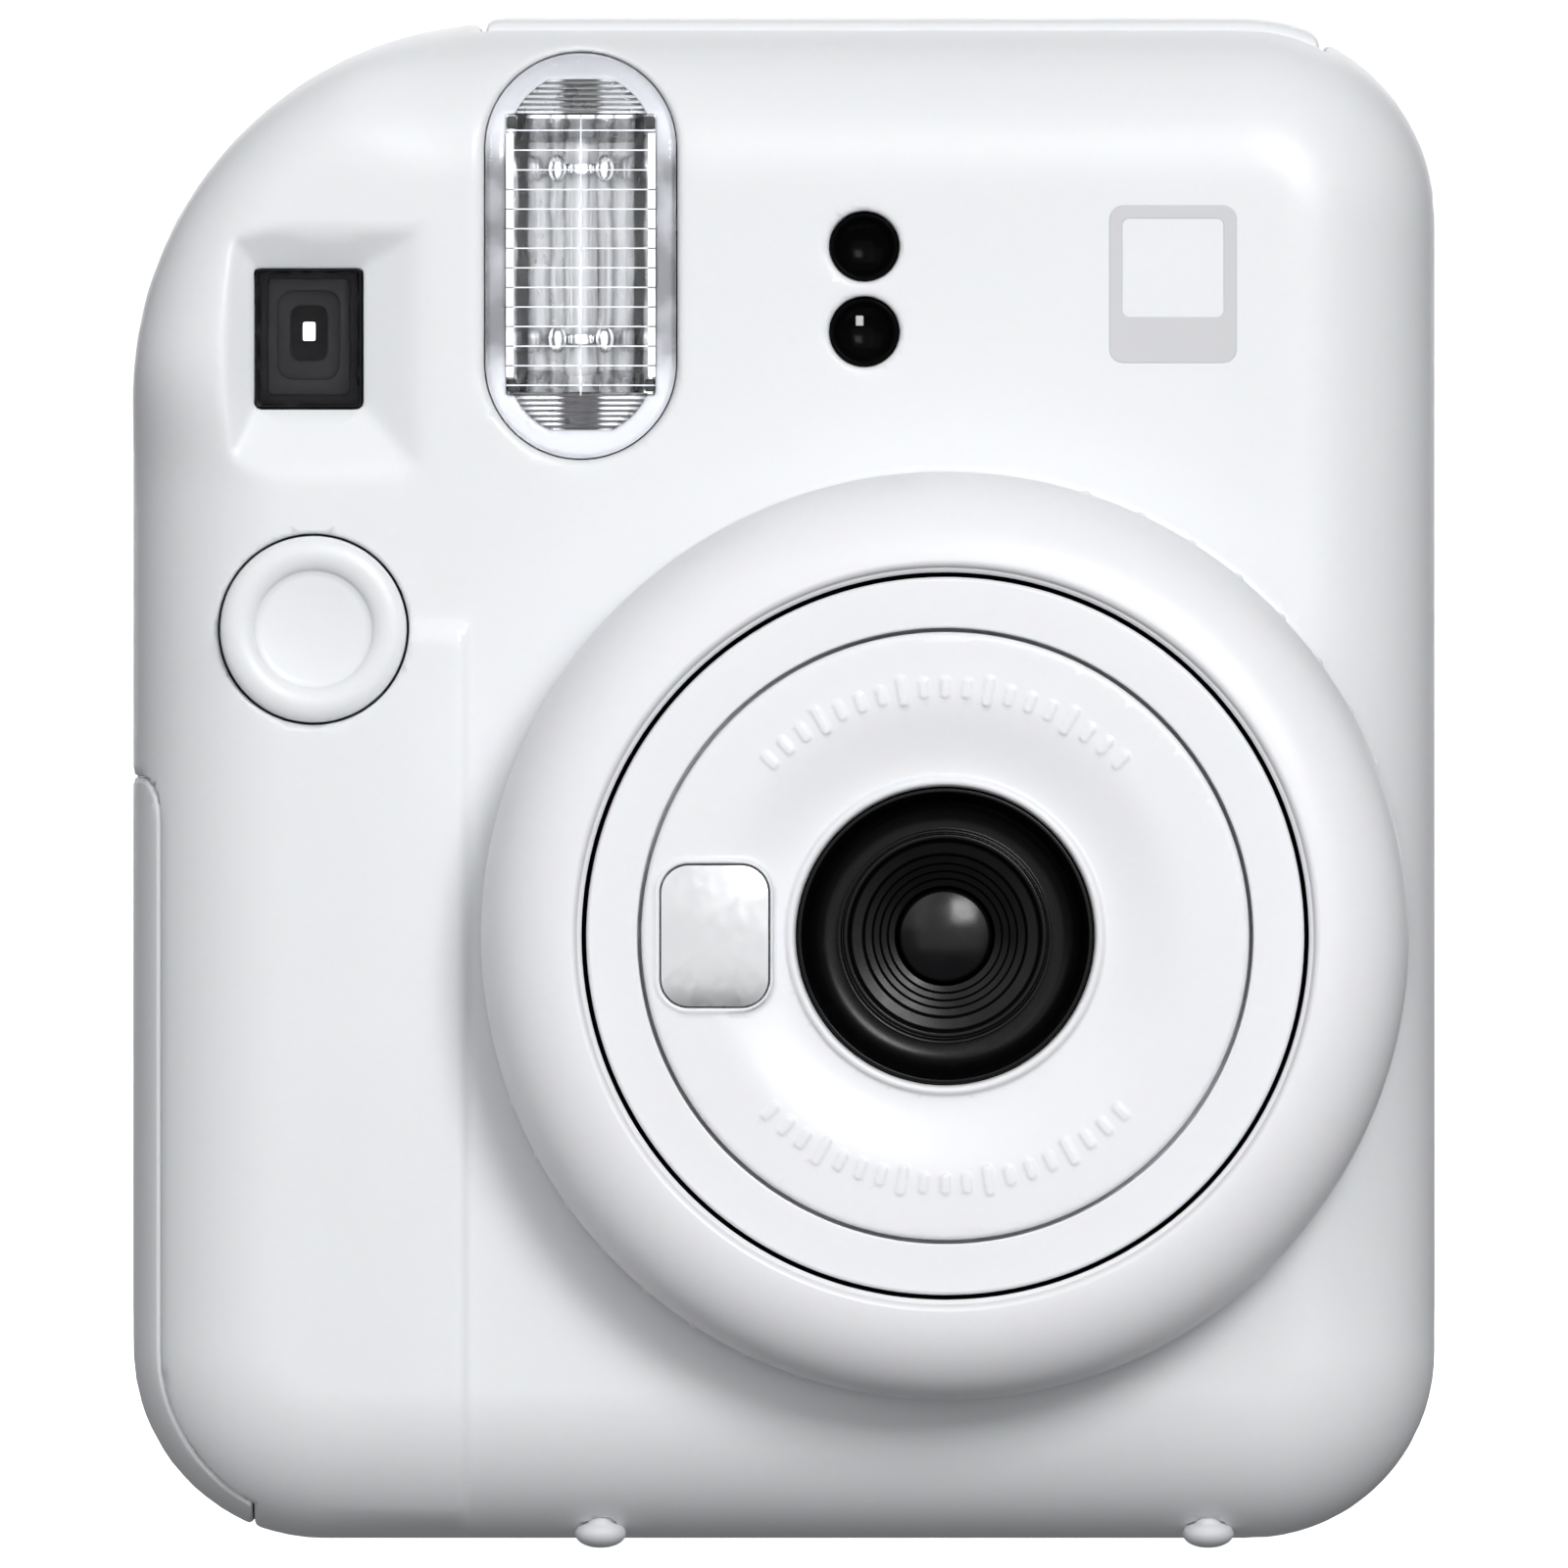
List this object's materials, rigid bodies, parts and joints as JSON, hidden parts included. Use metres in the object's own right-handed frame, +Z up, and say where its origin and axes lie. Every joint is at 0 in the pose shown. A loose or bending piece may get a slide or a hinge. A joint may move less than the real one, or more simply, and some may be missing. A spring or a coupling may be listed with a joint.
{
  "type": "instant camera",
  "caption": "Compact instant film camera with a turn-to-extend lens barrel, selfie mirror, flash, viewfinder, shutter button, hinged film door and hinged battery door.",
  "frame": {"origin": "middle of the footprint box, on the surface that the camera stands on", "axes": "+Z up, -Y the way the lens looks, +X towards the lens side as seen from the front"},
  "size_m": [0.104, 0.0666, 0.1222],
  "materials": {
    "case_white": "satin white moulded plastic",
    "ring_white": "satin white moulded plastic",
    "black_plastic": "matte black moulded plastic",
    "black_gloss": "glossy black window",
    "grey_plastic": "satin grey moulded plastic",
    "foot_rubber": "pale moulded rubber",
    "clear_plastic": "clear polished plastic",
    "glass": "polished glass",
    "mirror": "bright silvered",
    "steel": "plated steel",
    "circuit_board": "green circuit board",
    "gear_plastic": "natural white gear plastic",
    "sleeve_black": "shrink sleeve",
    "battery_jacket": "plain printed steel can"
  },
  "bodies": {
    "case": {"front_shell": "case_white", "rear_shell": "case_white", "top_cover": "case_white", "strap_lug": "grey_plastic", "foot_front_left": "foot_rubber", "foot_front_right": "foot_rubber", "foot_rear_left": "foot_rubber", "foot_rear_right": "foot_rubber", "case_screw_left": "steel", "case_screw_right": "steel", "hinge_pin_lower": "steel", "hinge_pin_upper": "steel", "counter_window": "clear_plastic", "barrel_guide": "black_plastic", "guide_screw_1": "steel", "guide_screw_2": "steel", "flash_window": "clear_plastic", "flash_reflector": "mirror", "flash_tube": "glass", "flash_capacitor": "sleeve_black", "viewfinder_window": "black_gloss", "viewfinder_tube": "black_plastic", "viewfinder_lens": "clear_plastic", "eyepiece_frame": "black_plastic", "eyepiece_lens": "clear_plastic", "light_meter_window": "black_gloss", "flash_sensor_window": "black_gloss", "shutter_switch": "black_plastic", "button_board": "circuit_board", "main_board": "circuit_board", "battery_tray": "black_plastic", "battery_contact_upper": "steel", "battery_contact_lower": "steel", "battery_front": "battery_jacket", "battery_rear": "battery_jacket", "dark_box": "black_plastic", "film_chamber": "black_plastic", "film_motor": "steel"},
    "ring": {"twist_ring": "ring_white", "ring_retainer": "steel"},
    "lens_group": {"lens_barrel": "ring_white", "lens_front_plate": "ring_white", "selfie_mirror": "mirror", "lens_hood": "black_plastic", "front_lens": "glass", "shutter_plate": "black_plastic"},
    "blade": {"shutter_blade": "steel"},
    "button": {"shutter_button": "case_white"},
    "film_door": {"back_door": "case_white", "door_window": "clear_plastic", "film_pressure_plate": "black_plastic"},
    "latch": {"door_latch": "case_white"},
    "battery_cover": {"battery_door": "case_white"},
    "roller_front": {"film_roller_front": "steel"},
    "roller_rear": {"film_roller_rear": "steel"},
    "idler": {"idler_gear": "gear_plastic"},
    "pinion": {"motor_pinion": "gear_plastic"},
    "pick": {"film_pick": "steel"},
    "dial": {"counter_dial": "black_plastic"}
  },
  "joints": [
    {"name": "ring_turn", "type": "hinge", "parent": "case", "child": "ring", "pos_m": [0.0128, 0, 0.0489], "axis": [0, -1, 0], "range_deg": [0, 75]},
    {"name": "lens_extend", "type": "slide", "parent": "case", "child": "lens_group", "axis": [0, -1, 0], "range_m": [0, 0.0121]},
    {"name": "blade_swing", "type": "hinge", "parent": "lens_group", "child": "blade", "pos_m": [0.0228, 0, 0.0539], "axis": [0, 1, 0], "range_deg": [0, 38]},
    {"name": "shutter_press", "type": "slide", "parent": "case", "child": "button", "axis": [0, 1, 0], "range_m": [0, 0.0015], "stiffness_N_per_m": 600, "springref_m": -0.001},
    {"name": "film_door_swing", "type": "hinge", "parent": "case", "child": "film_door", "pos_m": [0.046, 0.0313, 0.058], "axis": [0, 0, -1], "range_deg": [0, 100]},
    {"name": "latch_slide", "type": "slide", "parent": "case", "child": "latch", "axis": [0, 0, -1], "range_m": [0, 0.004], "stiffness_N_per_m": 300, "springref_m": -0.002},
    {"name": "battery_door_swing", "type": "hinge", "parent": "case", "child": "battery_cover", "pos_m": [-0.0508, 0.0175, 0.04], "axis": [0, 0, -1], "range_deg": [0, 95]},
    {"name": "roller_rear_turn", "type": "hinge", "parent": "case", "child": "roller_rear", "pos_m": [0.0128, 0.01915, 0.1105], "axis": [1, 0, 0], "continuous": true},
    {"name": "roller_front_turn", "type": "hinge", "parent": "case", "child": "roller_front", "pos_m": [0.0128, 0.01085, 0.1105], "axis": [1, 0, 0], "continuous": true},
    {"name": "idler_turn", "type": "hinge", "parent": "case", "child": "idler", "pos_m": [-0.022, 0.01915, 0.09805], "axis": [1, 0, 0], "continuous": true},
    {"name": "pinion_turn", "type": "hinge", "parent": "case", "child": "pinion", "pos_m": [-0.022, 0.01915, 0.08698], "axis": [1, 0, 0], "continuous": true},
    {"name": "pick_slide", "type": "slide", "parent": "case", "child": "pick", "axis": [0, 0, 1], "range_m": [0, 0.0035]},
    {"name": "counter_turn", "type": "hinge", "parent": "case", "child": "dial", "pos_m": [-0.033, 0.029, 0.04], "axis": [0, -1, 0], "range_deg": [0, 330]}
  ],
  "couplings": [
    {"joint": "lens_extend", "follows": "ring_turn", "m_per_rad": 0.0091673},
    {"joint": "roller_front_turn", "follows": "roller_rear_turn", "ratio": -1},
    {"joint": "idler_turn", "follows": "roller_rear_turn", "ratio": -0.5},
    {"joint": "pinion_turn", "follows": "roller_rear_turn", "ratio": 1.5}
  ]
}
